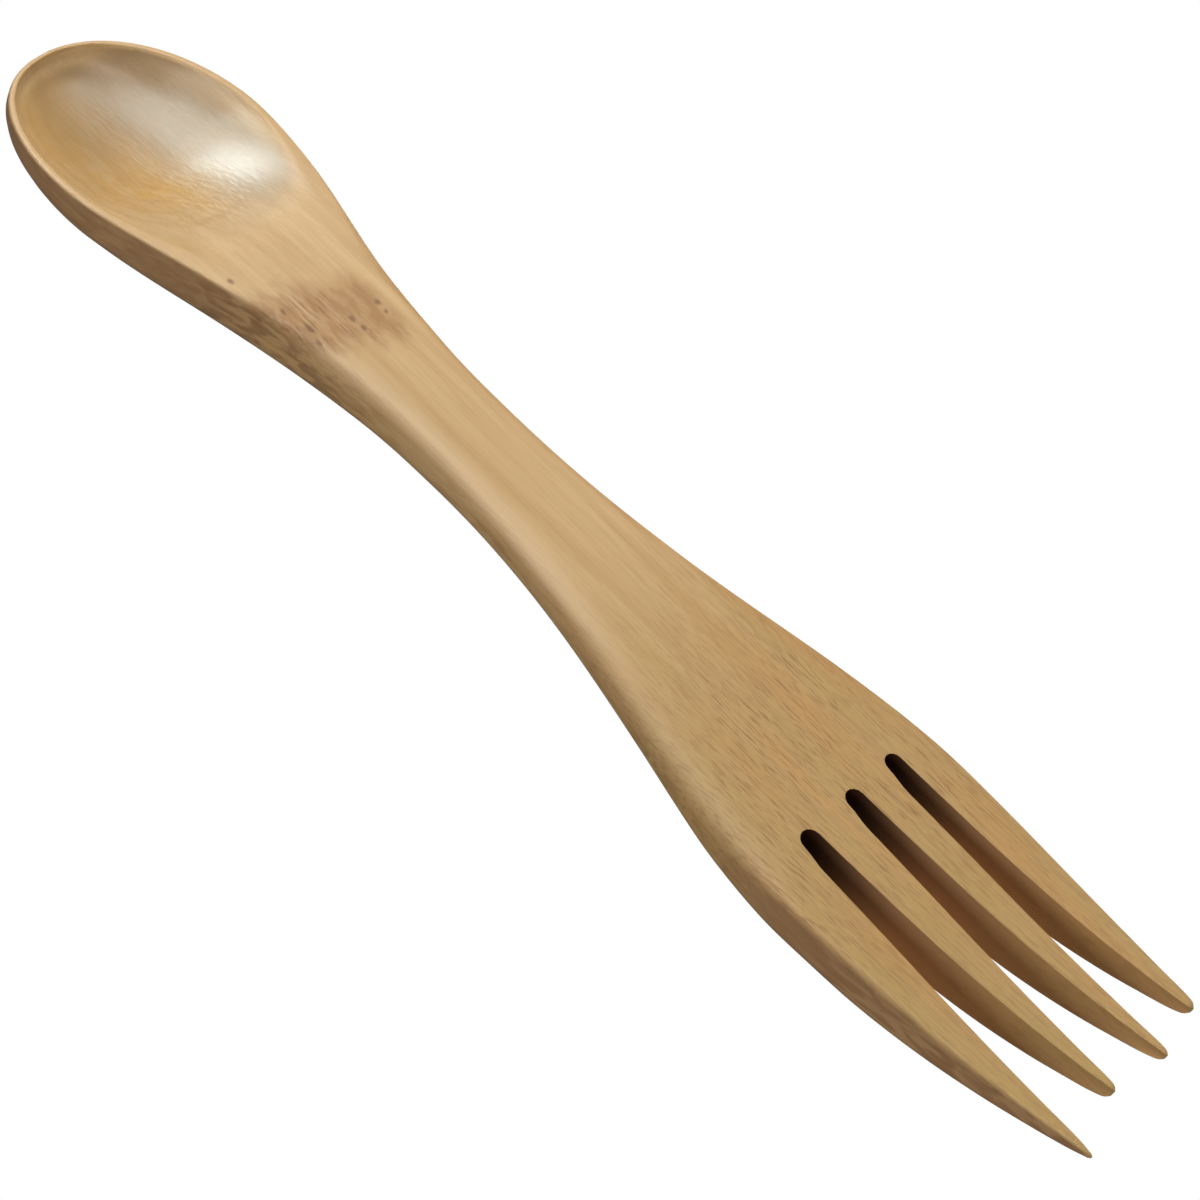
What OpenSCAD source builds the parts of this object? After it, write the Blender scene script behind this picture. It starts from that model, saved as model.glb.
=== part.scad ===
// Double-ended bamboo spork: a spoon bowl at one end and a four-tine fork at the other.
// It is carved from one strip, so the pieces below are stretches of that strip that meet
// face to face. X runs along the strip from the bowl to the fork, Y across it, Z up.
// Stations are measured in mm from the tip of the bowl, and X = 0 is half way along.

/* [Lengths] */
// Length of the bowl, from its tip to the start of the neck
bowl_len = 38; // [34:0.5:44]
// Length of the neck, where the bowl narrows into the grip
neck_len = 18; // [12:0.5:26]
// Length of the grip, the narrow middle that is held
grip_len = 48; // [40:1:64]
// Length of the solid part of the fork, from the grip to the roots of the slots
head_len = 21.5; // [17:0.5:28]
// Length of the longest tine, from the slot roots to its point
tine_len = 44.5; // [38:0.5:52]

/* [Bowl] */
// Greatest width of the bowl
bowl_w = 29.2; // [25:0.2:33]
// Distance from the bowl's tip to its greatest width
bowl_wide_at = 19; // [16:0.5:22]
// Width of the rim around the scoop, at the bowl's tip
rim_w = 1.1; // [0.7:0.1:1.8]
// Width of the rim at the neck end of the scoop
rim_end_w = 2.6; // [1.6:0.1:3.6]
// Greatest depth of the scoop below the rim
scoop_depth = 4.8; // [3.4:0.1:5.4]
// Distance from the bowl's tip to the deepest place of the scoop
scoop_deep_at = 17; // [14:0.5:20]
// Distance from the end of the scoop to the neck
scoop_margin = 1.5; // [0.5:0.1:3]
// Drop of the rim at the bowl's tip, below the line of the top face
droop = 7.1; // [5.5:0.1:7.6]
// How far into the neck that drop begins
droop_lead = 12.5; // [6:0.5:16]
// Distance from the bowl's tip to the lowest place of its underside
belly_at = 23; // [18:0.5:28]
// Height of the underside at the bowl's tip
tip_lift = 1.8; // [1.2:0.1:2.2]

/* [Grip] */
// Width of the strip at its waist
waist_w = 12.8; // [10:0.2:16]
// Distance from the neck to the waist
waist_lead = 7; // [3:0.5:14]
// Height of the top face where the bowl meets the neck
neck_z = 9.4; // [8.6:0.1:11]
// Height of the underside at the top of its arch
arch_z = 3; // [2:0.1:3.6]
// Distance from the neck to the top of that arch
arch_lead = 19; // [12:0.5:28]

/* [Fork] */
// Greatest width of the fork
head_w = 32.2; // [29:0.2:36]
// Distance from the slot roots to the greatest width
wide_lead = 5; // [2:0.5:9]
// Width across the points of the two outer tines
tips_w = 26.2; // [25.8:0.1:28]
// Height of the top face at the slot roots
head_z = 6.7; // [6:0.1:8]
// Dip of the top face in front of the slots
dip = 0.5; // [0:0.1:0.8]
// Length over which the top face dips
dip_len = 56; // [40:1:64]
// Rise of the tine points above the line of the top face
curl = 2.25; // [1:0.05:3.5]
// Length of the tines over which they rise
curl_len = 35; // [24:0.5:42]
// Distance from the slot roots to the heel, where the fork stands
heel_lead = 10; // [6:0.5:14]
// Depth planed off the heel to make its flat
heel_cut = 0.12; // [0.06:0.02:0.3]
// Rise of the underside from the heel to the tine points
under_rise = 6.4; // [5:0.1:7]

/* [Slots] */
// Place across the fork of the root of the left slot, seen from the grip
slot_left_y = 9.05; // [8.7:0.05:9.4]
// Place across the fork of the root of the middle slot
slot_mid_y = 1.25; // [0.9:0.05:1.6]
// Place across the fork of the root of the right slot
slot_right_y = -7.45; // [-7.8:0.05:-7.1]
// Half width of the left slot at its root
slot_left_r = 1.4; // [1.1:0.05:1.5]
// Half width of the middle slot at its root
slot_mid_r = 1.5; // [1.1:0.05:1.6]
// Half width of the right slot at its root
slot_right_r = 1.6; // [1.1:0.05:1.7]
// Widening of every slot on its left side, from its root to the tine points
slot_flare = 2.1; // [1.6:0.05:2.2]
// Widening of the left slot on its right side
slot_left_flare = 2.3; // [1.8:0.05:2.45]
// Widening of the middle slot on its right side
slot_mid_flare = 3.3; // [2.6:0.05:3.5]
// Widening of the right slot on its right side
slot_right_flare = 3.5; // [2.8:0.05:3.7]

/* [Tine points] */
// How much the left outer tine falls short of the longest one
short_left_outer = 2.5; // [0.5:0.1:6]
// How much the left inner tine falls short
short_left_inner = 1.2; // [0.5:0.1:6]
// How much the right inner tine falls short
short_right_inner = 2.8; // [0.5:0.1:6]
// Length of the rounding at a blunt point
blunt_len = 1.2; // [0.6:0.1:2]
// Length of the rounding at the sharp point of the right outer tine
sharp_len = 3; // [2:0.5:8]

/* [Edges] */
// Radius of the top edge round the bowl
bowl_edge = 0.4; // [0.2:0.05:0.6]
// Radius of the top edge along the grip
grip_edge = 1.2; // [0.6:0.05:2]
// Radius of the top edge round the fork
head_edge = 0.4; // [0.2:0.05:0.6]
// Radius of the top edge along the slots
slot_edge = 0.2; // [0.1:0.05:0.3]

/* [Hidden] */

// Stations where one stretch ends and the next begins
neck_u = bowl_len;
grip_u = neck_u + neck_len;
head_u = grip_u + grip_len;
root_u = head_u + head_len;
total_len = root_u + tine_len;

// Stations of the outline and of the underside
waist_u = grip_u + waist_lead;
wide_u = root_u + wide_lead;
droop_u = neck_u + droop_lead;
arch_u = grip_u + arch_lead;
heel_u = root_u + heel_lead;
curl_u = total_len - curl_len;
scoop_end_u = neck_u - scoop_margin;

// Each slot by the place and half width of its root and the widening of its right side
left_slot = [slot_left_y, slot_left_r, slot_left_flare];
mid_slot = [slot_mid_y, slot_mid_r, slot_mid_flare];
right_slot = [slot_right_y, slot_right_r, slot_right_flare];

// Powers that set how full a curve is
bowl_power = 2.12;
shoulder_power = 0.82;
flare_power = 1.245;
taper_power = 1.67;
slot_left_power = 2.5;
slot_right_power = 1.25;
scoop_power = 0.8;
scoop_tip_power = 0.6;
rise_power = 2;

// Fullness of the section, from a soft oval to a rounded block
bowl_section_power = 3.65;
grip_section_power = 4;
head_section_power = 7.5;

// Share of the bowl's length after which its section turns into the grip's
turn_share = 0.6;
// Share of the bowl's length between its tip and the first section
first_share = 0.0006;
// Shares of a tine's width and thickness that are left at its very end
blunt_width_share = 0.42;
blunt_depth_share = 0.55;
sharp_width_share = 0.3;
sharp_depth_share = 0.35;
// Largest share of the strip's half width, or of a tine's width, that an edge radius may take
edge_limit_share = 0.4;
// Share of the half width that the scoop keeps near the bowl's tip
scoop_limit_share = 0.15;

// Number of steps along each stretch and round a section
bowl_steps = 30;
neck_steps = 9;
grip_steps = 16;
head_steps = 9;
tine_steps = 12;
point_steps = 5;
low_steps = 20;
scoop_steps = 14;
tine_low_steps = 7;
edge_steps = 3;

bamboo = "burlywood";

// Smooth step from 0 to 1, and the share of the way from a to b
function ease(t) = let (k = min(1, max(0, t))) k * k * (3 - 2 * k);
function way(u, a, b) = min(1, max(0, (u - a) / (b - a)));
function mix(a, b, t) = a + (b - a) * t;

// Half of the strip's width at station u
function half_w(u) =
    u < bowl_wide_at
        ? bowl_w / 2 * pow(1 - pow(1 - u / bowl_wide_at, bowl_power), 1 / bowl_power)
    : u < waist_u
        ? mix(bowl_w, waist_w, ease(pow(way(u, bowl_wide_at, waist_u), shoulder_power))) / 2
    : u < wide_u
        ? mix(waist_w, head_w, ease(pow(way(u, waist_u, wide_u), flare_power))) / 2
    : mix(head_w, tips_w, pow(way(u, wide_u, total_len), taper_power)) / 2;

// Height of the top face: a straight line that droops at the bowl, dips and curls up
function dip_z(u) =
    let (t = min(1, abs(u - mix(head_u, root_u, 1 / 2)) * 2 / dip_len))
    dip * pow(1 - t * t, 2);
function top_z(u) =
    neck_z + (head_z - neck_z) * (u - neck_u) / (root_u - neck_u)
    - droop * pow(way(u, droop_u, 0), rise_power)
    - dip_z(u)
    + curl * pow(way(u, curl_u, total_len), rise_power);

// Height of the underside along the middle: belly, arch, heel and the rise to the points
function low_z(u) =
    u < belly_at ? tip_lift * pow(way(u, belly_at, 0), rise_power)
    : u < arch_u ? arch_z * ease(way(u, belly_at, arch_u))
    : u < heel_u ? mix(arch_z, -heel_cut, ease(way(u, arch_u, heel_u)))
    : mix(-heel_cut, under_rise, pow(way(u, heel_u, total_len), rise_power));

// A value that changes from the bowl to the grip and on to the fork
function along(u, at_bowl, at_grip, at_head) =
    u < grip_u
        ? mix(at_bowl, at_grip, ease(way(u, turn_share * neck_u, grip_u)))
        : mix(at_grip, at_head, ease(way(u, grip_u, root_u)));
function edge_r(u) =
    min(along(u, bowl_edge, grip_edge, head_edge), edge_limit_share * half_w(u));
function fullness(u) =
    along(u, bowl_section_power, grip_section_power, head_section_power);

// Height of the underside at a place y across the section
function under_z(u, y) =
    let (n = fullness(u), side = top_z(u) - edge_r(u))
    side - (side - low_z(u)) * pow(1 - pow(min(1, abs(y) / half_w(u)), n), 1 / n);

// Places across the fork of the left and right sides of a slot
function slot_left_side(u, slot) =
    slot[0] + slot[1] + slot_flare * pow(way(u, root_u, total_len), slot_left_power);
function slot_right_side(u, slot) =
    slot[0] - slot[1] - slot[2] * pow(way(u, root_u, total_len), slot_right_power);

// Points [y, z] of the lower side, from the left edge under the middle to the right edge
function lower_points(u) =
    let (n = fullness(u), h = half_w(u), side = top_z(u) - edge_r(u))
    [for (i = [0 : low_steps])
        let (a = 180 * i / low_steps, c = cos(a), s = sin(a))
        [h * sign(c) * pow(abs(c), 2 / n), side - (side - low_z(u)) * pow(s, 2 / n)]];

// Rounded top edges at place y and height z; the first and last points lie on the faces
function right_edge(y, z, r) =
    [for (i = [1 : edge_steps])
        let (a = 90 * i / edge_steps) [y + r - r * cos(a), z - r + r * sin(a)]];
function left_edge(y, z, r) =
    [for (i = [0 : edge_steps - 1])
        let (a = 90 * i / edge_steps) [y - r + r * sin(a), z - r + r * cos(a)]];

// Whole section of the strip
function section(u) =
    let (h = half_w(u), r = edge_r(u), z = top_z(u))
    concat(lower_points(u), right_edge(-h, z, r), left_edge(h, z, r));

// Scoop: its half width, its depth along the middle, and its points from right to left
function scoop_half(u) =
    u < bowl_wide_at
        ? max(scoop_limit_share * half_w(u), (bowl_w / 2 - rim_w)
            * pow(1 - pow(way(u, bowl_wide_at, rim_w), bowl_power), 1 / bowl_power))
        : half_w(u) - mix(rim_w, rim_end_w, ease(way(u, bowl_wide_at, scoop_end_u)));
function scoop_d(u) =
    u <= rim_w ? 0
    : u < scoop_deep_at
        ? scoop_depth
            * pow(1 - pow(way(u, scoop_deep_at, rim_w), bowl_power), scoop_tip_power)
        : scoop_depth * (1 - ease(way(u, scoop_deep_at, scoop_end_u)));
function scoop_points(u) =
    let (h = scoop_half(u), d = scoop_d(u))
    [for (i = [0 : scoop_steps])
        let (t = -cos(180 * i / scoop_steps))
        [h * t, top_z(u) - d * pow(1 - t * t, scoop_power)]];
function bowl_section(u) =
    let (h = half_w(u), r = edge_r(u), z = top_z(u))
    concat(lower_points(u), right_edge(-h, z, r), scoop_points(u), left_edge(h, z, r));

// Section of a tine between places a (right) and b (left). Its underside follows the strip:
// straight across between two slots, or with points crowded towards an outer side.
function spread(t, side) = side < 0 ? sin(90 * t) : 1 - cos(90 * t);
function tine_under(u, a, b, side) =
    side == 0
        ? [[b, low_z(u)], [a, low_z(u)]]
        : [for (i = [0 : tine_low_steps])
            let (y = mix(b, a, spread(i / tine_low_steps, side))) [y, under_z(u, y)]];
function tine_section(u, a, b, side) =
    let (z = top_z(u),
        r_max = edge_limit_share * (b - a),
        ra = min(r_max, side < 0 ? edge_r(u) : slot_edge),
        rb = min(r_max, side > 0 ? edge_r(u) : slot_edge))
    concat(
        tine_under(u, a, b, side),
        right_edge(a, z, ra),
        left_edge(b, z, rb),
        side > 0 ? [] : [[b, z - rb]]);
function rounded(ring, ws, ds) =
    let (ys = [for (p = ring) p[0]],
        zs = [for (p = ring) p[1]],
        ym = mix(min(ys), max(ys), 1 / 2),
        zm = mix(min(zs), max(zs), 1 / 2))
    [for (p = ring) [mix(ym, p[0], ws), mix(zm, p[1], ds)]];

// Solid through a row of sections, one at each station
module loft(us, rings) {
    n = len(rings[0]);
    last = len(us) - 1;
    points = [for (i = [0 : last]) for (p = rings[i]) [us[i] - total_len / 2, p[0], p[1]]];
    sides = [for (i = [0 : last - 1]) for (j = [0 : n - 1])
        let (k = (j + 1) % n, a = i * n + j, b = i * n + k, c = b + n, d = a + n)
        each [[a, b, c], [a, c, d]]];
    start = [for (j = [n - 1 : -1 : 0]) j];
    finish = [for (j = [0 : n - 1]) last * n + j];
    polyhedron(points = points, faces = concat(sides, [start, finish]), convexity = 6);
}

// Even stations from a to b
function stations(a, b, steps) = [for (i = [0 : steps]) mix(a, b, i / steps)];

module stretch(a, b, steps) {
    us = stations(a, b, steps);
    loft(us, [for (u = us) section(u)]);
}

// Stations crowd towards the bowl's tip, where the outline turns fastest
module bowl() {
    us = [for (i = [0 : bowl_steps])
        mix(first_share, 1, pow(i / bowl_steps, rise_power)) * bowl_len];
    color(bamboo) loft(us, [for (u = us) bowl_section(u)]);
}

module neck() {
    color(bamboo) stretch(neck_u, grip_u, neck_steps);
}

module grip() {
    color(bamboo) stretch(grip_u, head_u, grip_steps);
}

// The round end of a slot, drilled through the fork
module slot_root(slot) {
    translate([root_u - total_len / 2, slot[0], low_z(root_u) - neck_z])
        cylinder(r = slot[1], h = neck_z * 3, $fn = 48);
}

module fork_head() {
    color(bamboo) difference() {
        stretch(head_u, root_u, head_steps);
        slot_root(left_slot);
        slot_root(mid_slot);
        slot_root(right_slot);
    }
}

// One tine from the slot roots to its point, between the slots on its right and its left.
// The side is -1 for the outer tine on the right, 1 for the one on the left, or else 0.
module tine(side, on_right, on_left, short, round_len, width_left, depth_left) {
    end_u = total_len - short;
    round_u = end_u - round_len;
    us = concat(
        stations(root_u, round_u, tine_steps),
        [for (i = [1 : point_steps]) mix(round_u, end_u, sin(90 * i / point_steps))]);
    rings = [for (u = us)
        let (a = side < 0 ? -half_w(u) : slot_left_side(u, on_right),
            b = side > 0 ? half_w(u) : slot_right_side(u, on_left),
            k = sqrt(1 - pow(way(u, round_u, end_u), 2)))
        rounded(tine_section(u, a, b, side), mix(width_left, 1, k), mix(depth_left, 1, k))];
    color(bamboo) difference() {
        loft(us, rings);
        translate([-total_len / 2, -head_w, -neck_z])
            cube([total_len * 2, head_w * 2, neck_z]);
    }
}

module tine_left_outer() {
    tine(1, left_slot, undef, short_left_outer, blunt_len,
        blunt_width_share, blunt_depth_share);
}

module tine_left_inner() {
    tine(0, mid_slot, left_slot, short_left_inner, blunt_len,
        blunt_width_share, blunt_depth_share);
}

module tine_right_inner() {
    tine(0, right_slot, mid_slot, short_right_inner, blunt_len,
        blunt_width_share, blunt_depth_share);
}

module tine_right_outer() {
    tine(-1, undef, right_slot, 0, sharp_len, sharp_width_share, sharp_depth_share);
}

bowl();
neck();
grip();
fork_head();
tine_left_outer();
tine_left_inner();
tine_right_inner();
tine_right_outer();
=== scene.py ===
"""Looks of a one-piece bamboo spork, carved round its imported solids."""

import math
from functools import partial

import bpy
import numpy as np
from mathutils import Matrix, Vector


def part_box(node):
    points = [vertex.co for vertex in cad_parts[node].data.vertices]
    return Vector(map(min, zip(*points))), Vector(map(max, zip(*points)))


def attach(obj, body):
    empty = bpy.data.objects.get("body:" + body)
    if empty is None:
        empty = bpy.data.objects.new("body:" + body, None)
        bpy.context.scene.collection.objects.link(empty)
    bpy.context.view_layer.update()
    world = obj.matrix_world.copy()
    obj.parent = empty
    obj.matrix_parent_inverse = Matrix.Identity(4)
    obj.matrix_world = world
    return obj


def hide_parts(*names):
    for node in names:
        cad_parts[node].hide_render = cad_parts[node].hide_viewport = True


bl_info = {
    "name": "Bamboo spork",
    "version": (1, 0, 0),
    "blender": (4, 5, 0),
    "location": "View3D > Sidebar > Spork",
    "description": "Carves a bamboo spork from a flat blank, finishes it and sets the studio",
    "category": "Object",
}

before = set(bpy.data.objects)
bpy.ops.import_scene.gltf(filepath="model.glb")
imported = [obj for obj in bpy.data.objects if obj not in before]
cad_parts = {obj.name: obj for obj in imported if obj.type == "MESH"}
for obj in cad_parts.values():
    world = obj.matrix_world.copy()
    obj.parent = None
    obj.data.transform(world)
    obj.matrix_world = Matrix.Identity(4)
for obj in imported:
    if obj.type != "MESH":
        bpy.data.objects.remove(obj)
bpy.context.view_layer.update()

# Stretches of the strip from the bowl to the fork, and the tines from the near side on
STRETCHES = ("bowl", "neck", "grip", "fork_head")
TINES = ("tine_right_outer", "tine_right_inner", "tine_left_inner", "tine_left_outer")
LAST_TINE = len(TINES) - 1
NODES = STRETCHES + TINES
MM = 0.001
# Less than this is no hollow and no distance from the middle line
NEARLY_NONE = MM / 100
# What a divisor is at least, so that nothing is divided by zero
LEAST = 1e-9
LEAST_AREA = 1e-12

# Cells of the flat blank, lengthwise
FRONT_RIM_CELLS = 4
FRONT_CELLS = 28
BOWL_CELLS = 30
NECK_CELLS = 28
GRIP_CELLS = 66
HEAD_CELLS = 36
TINE_CELLS = 66
# Cells of the flat blank, across: a rim cell count and one count for each tine and slot
RIM_CELLS = 4
TINE_LANE_CELLS = (9, 10, 10, 9)
SLOT_LANE_CELLS = 8
CELL_CORNERS = 4
# How far the rows crowd towards the points, and the columns towards the sides of their lane
ROW_CROWDING = 0.55
COLUMN_CROWDING = 0.4
# Layers of the wall from the top edge to the underside, and those of the edge's rounding
LAYERS = 12
ARC_LAYERS = 5
# Layers at the top and the bottom of a slot wall that stay unscorched
CLEAN_LAYERS = 2
# Where the wall meets the underside, and the most of the width that it may draw in by then
LAST_ANGLE = math.radians(62)
TUCK_SHARE = 0.45
# The turns of an edge's rounding between which the top passes into a flank
FLANK_TURNS = (math.radians(45), math.radians(90))
# The most of the thickness that the rounding of an edge may take, outside and in a slot
EDGE_SHARE = 0.46
SLOT_EDGE_SHARE = 0.3
# Where the rim's inner line runs, as a share of the half width, and how it is sanded
RIM_SHARE = 0.92
SANDED_REACH = 0.03
SANDING = 0.4
SANDING_TIMES = 2
WELD = 1e-7
# How the scoop falls from its rim, at the sides and at the tip
SCOOP_POWER = 0.8
SCOOP_TIP_POWER = 0.6
TIP_ROUND_POWER = 30
# Rows before the slot roots that bend round them
BENT_ROWS = 9
# The most of a tine's width that the rounding of a slot edge or of its point may take
POINT_SHARE = 0.2
# The share of the fork head after which its columns turn to the lanes of the tines
LANE_START = 0.8
# Where the far edge of the neck is roundest, and where that starts in the bowl, as shares
SLIM_SHARE = 0.33
SLIM_START = 0.6
# Shares of the bowl's rear, the grip, the fork head and the near tine where the edges change
BOWL_EDGE_END = 0.75
GRIP_EDGE_END = 0.75
HEAD_EDGE_END = 0.45
TINE_EDGE_START = 0.2
# A cut through a solid with fewer points than this is no full ring
RING_POINTS = 7
STATION_DIGITS = 5
STRIP_NAME = "carved_strip"
PIECE_PREFIX = "spork_"
FINISH_NAME = "oiled_bamboo"
# How a grain's seed shifts it along, across and through the strip
SEED_SHIFT = (1, 0.7, 1.3)
# The node of the cane and the knot on its near side: place, half width and softness, and waver
NODE_BAND = (-37 * MM, 4.4 * MM, 2.4 * MM)
NODE_WAVER = 6 * MM
NODE_SLANT = 0.36
KNOT_BAND = (-39 * MM, 9 * MM, 4 * MM)
KNOT_WAVER = 14 * MM
SPECULAR_LEVEL = 0.4
BUMP_STRENGTH = 0.35
BUMP_HEIGHT = 0.12 * MM
# The floor, the camera's sensor in millimetres, and where the room's light changes
FLOOR_SIZE = 6
FLOOR_DROP = 0.2 * MM
SENSOR_WIDTH = 36
CLIP_START = 0.01
HORIZON = 0.3
# Lights round the whole spork: turn and height angle in degrees, and size in metres
LIGHT_DISTANCE = 0.7
KEY_LIGHT = (143, 48, 0.4)
SIDE_FILL = (-80, 18, 0.3)
EDGE_SHEEN = (-104, 66, 0.36)
# Cards that shine in the bowl: the same, and share of the power
GLEAM_CARDS = (
    (156, 26, 0.16, 1.35),
    (166, 34, 0.22, 1.1),
    (206, 34, 0.3, 1.7),
    (246, 34, 0.16, 0.9),
    (156, 52, 0.16, 0.82),
    (186, 52, 0.16, 0.42),
    (176, 62, 0.16, 0.5),
    (116, 62, 0.16, 0.28),
)
# Dark specks of the node: place along and across and size in millimetres, and stretch
NODE_SPECKS = (
    (-36.2, 3.4, 0.54, 1.3),
    (-34.8, 3.3, 0.48, 1.2),
    (-36.3, -1.0, 0.6, 1.2),
    (-34.7, -0.8, 0.5, 1.4),
    (-38.2, -6.5, 0.42, 2.6),
    (-41.5, -7.4, 0.38, 2.0),
    (-36.3, -6.8, 0.36, 2.4),
    (-47.9, -9.3, 0.5, 1.2),
)


def way(value, start, end):
    """How far a value is from start to end, held between 0 and 1."""
    return np.clip((value - start) / (end - start), 0, 1)


def ease(share):
    """A share that starts and ends gently."""
    return share * share * (3 - 2 * share)


def mix(first, second, share):
    """A value between two others."""
    return first + (second - first) * share


def rings(node):
    """The full cross rings of a CAD node, as points by their place along the strip."""
    points = np.array([v.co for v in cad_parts[node].data.vertices], float)
    stations = points[:, 0].round(STATION_DIGITS)
    found = {}
    for station in np.unique(stations):
        ring = np.unique(points[stations == station].round(STATION_DIGITS + 1), axis=0)
        if len(ring) >= RING_POINTS:
            found[float(station)] = ring
    return found


def curve(places, values):
    """A smooth function through values at rising places: a natural cubic spline."""
    places, values = np.array(places, float), np.array(values, float)
    step = np.diff(places)
    slope = np.diff(values) / step
    system = np.eye(len(places))
    target = np.zeros(len(places))
    for k in range(1, len(places) - 1):
        system[k, k - 1 : k + 2] = step[k - 1], 2 * (step[k - 1] + step[k]), step[k]
        target[k] = 6 * (slope[k] - slope[k - 1])
    bend = np.linalg.solve(system, target)

    def at(place):
        place = np.clip(place, places[0], places[-1])
        k = np.clip(np.searchsorted(places, place) - 1, 0, len(places) - 2)
        second = (place - places[k]) / step[k]
        first = 1 - second
        bow = (first**3 - first) * bend[k] + (second**3 - second) * bend[k + 1]
        return first * values[k] + second * values[k + 1] + bow * step[k] ** 2 / 6

    return at


class Strip:
    """Where each cell corner of the flat blank goes when the spork is carved from it."""

    def __init__(self, shape):
        self.shape = shape
        body = {}
        for node in STRETCHES:
            body.update(rings(node))
        places = sorted(body)
        bowl = sorted(rings("bowl"))
        half = {x: np.abs(body[x][:, 1]).max() for x in places}
        self.tip_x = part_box("bowl")[0].x
        self.wide_x = max(bowl, key=half.get)
        self.neck_x, self.grip_x, self.head_x = (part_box(n)[0].x for n in STRETCHES[1:])
        self.root_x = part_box("fork_head")[1].x
        self.wide_half = half[self.wide_x]
        self.front_len = self.wide_x - self.tip_x
        rear = [x for x in places if x >= self.wide_x]
        self.rear_half = curve(rear, [half[x] for x in rear])
        front = [x for x in bowl if x <= self.wide_x]
        turn = [math.acos(min(1, (self.wide_x - x) / self.front_len)) for x in front]
        share = [half[x] / self.wide_half for x in front]
        self.front_share = curve([0] + turn[1:], [0] + share[1:])
        floors = [self.scoop_floor(body[x]) for x in rear]
        self.depth = curve(rear, floors)
        self.scoop_end = next(x for x, floor in zip(rear, floors) if floor < NEARLY_NONE)
        self.read_tines(body, places, half)
        self.lay_rows()
        self.lay_columns()

    @staticmethod
    def scoop_floor(ring):
        """How deep the scoop is on the middle line of a ring."""
        middle = ring[np.abs(ring[:, 1]) < NEARLY_NONE]
        return ring[:, 2].max() - middle[:, 2].max() if len(middle) > 1 else 0

    def read_tines(self, body, places, half):
        """Reads each tine's two sides, top, underside and point from its CAD node."""
        self.low_side, self.high_side, self.top, self.low, self.point = [], [], [], [], []
        for k, node in enumerate(TINES):
            tine = rings(node)
            own = sorted(tine)
            both = places + [x for x in own if x > places[-1]]
            ring = {**tine, **body}
            lows = {x: tine[x][:, 1].min() for x in own}
            highs = {x: tine[x][:, 1].max() for x in own}
            near, far = own, own
            if k == 0:
                near, lows = both, {**lows, **{x: -half[x] for x in places}}
            if k == LAST_TINE:
                far, highs = both, {**highs, **half}
            near = [x for x in near if x >= self.wide_x]
            far = [x for x in far if x >= self.wide_x]
            self.low_side.append(curve(near, [lows[x] for x in near]))
            self.high_side.append(curve(far, [highs[x] for x in far]))
            self.top.append(curve(both, [ring[x][:, 2].max() for x in both]))
            self.low.append(curve(both, [ring[x][:, 2].min() for x in both]))
            self.point.append(own[-1])

    def lay_rows(self):
        """The rows of the blank: the share of the bowl's front, or the place, of each."""
        rim = np.linspace(1, RIM_SHARE, FRONT_RIM_CELLS + 1)[:-1]
        self.front = np.append(rim, np.linspace(RIM_SHARE, 0, FRONT_CELLS + 1))
        ends = (self.wide_x, self.neck_x, self.grip_x, self.head_x, self.root_x)
        cells = (BOWL_CELLS, NECK_CELLS, GRIP_CELLS, HEAD_CELLS)
        stretches = [np.linspace(a, b, n + 1)[1:] for a, b, n in zip(ends, ends[1:], cells)]
        first = len(self.front)
        self.row_x = np.concatenate([np.full(first, self.wide_x)] + stretches)
        self.root_row = len(self.row_x) - 1
        along = np.linspace(0, 1, TINE_CELLS + 1)[1:]
        self.tine_share = mix(along, np.sin(along * math.pi / 2), ROW_CROWDING)
        self.rows = self.root_row + TINE_CELLS
        self.front = np.append(self.front, np.zeros(self.rows + 1 - first))
        starts = np.cumsum((first - 1 + BOWL_CELLS, NECK_CELLS, GRIP_CELLS, HEAD_CELLS))
        self.stretch_row = dict(zip(STRETCHES, starts))

    def lay_columns(self):
        """The columns of the blank: their share of the half width, their lane and place in it."""
        root = self.root_x
        half = float(self.rear_half(root))
        self.across, self.lane, self.share, self.slot = [-1.0], [0], [0.0], [False]

        def add(shares, lane, low, high, slot=False):
            for share in shares:
                self.across.append(mix(low, high, share))
                self.lane.append(lane)
                self.share.append(share)
                self.slot.append(slot)

        for k, cells in enumerate(TINE_LANE_CELLS):
            low = -1 if k == 0 else float(self.low_side[k](root)) / half
            high = 1 if k == LAST_TINE else float(self.high_side[k](root)) / half
            rim = (1 - RIM_SHARE) / (high - low)
            start, end = (rim if low == -1 else 0), (1 - rim if high == 1 else 1)
            if low == -1:
                add(np.linspace(0, rim, RIM_CELLS + 1)[1:], k, low, high)
            else:
                add([0], k, low, high)
            even = np.linspace(0, 1, cells + 1)[1:]
            add(mix(start, end, mix(even, ease(even), COLUMN_CROWDING)), k, low, high)
            if high == 1:
                add(np.linspace(1 - rim, 1, RIM_CELLS + 1)[1:], k, low, high)
            else:
                after = float(self.low_side[k + 1](root)) / half
                turns = np.linspace(0, math.pi, SLOT_LANE_CELLS + 1)[1:-1]
                add((1 - np.cos(turns)) / 2, k, high, after, slot=True)
        self.across, self.share = np.array(self.across), np.array(self.share)
        self.lane, self.slot = np.array(self.lane), np.array(self.slot)
        self.columns = len(self.across) - 1

    def in_slot(self, row, column):
        """Whether a cell of the blank, given by its middle, is cut away for a slot."""
        return row > self.root_row and (
            self.slot[math.floor(column)] or self.slot[math.ceil(column)]
        )

    def node_of(self, row, column):
        """The CAD node that a cell of the blank, given by its middle, belongs to."""
        for node, end in self.stretch_row.items():
            if row <= end:
                return node
        return TINES[self.lane[math.floor(column)]]

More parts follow.
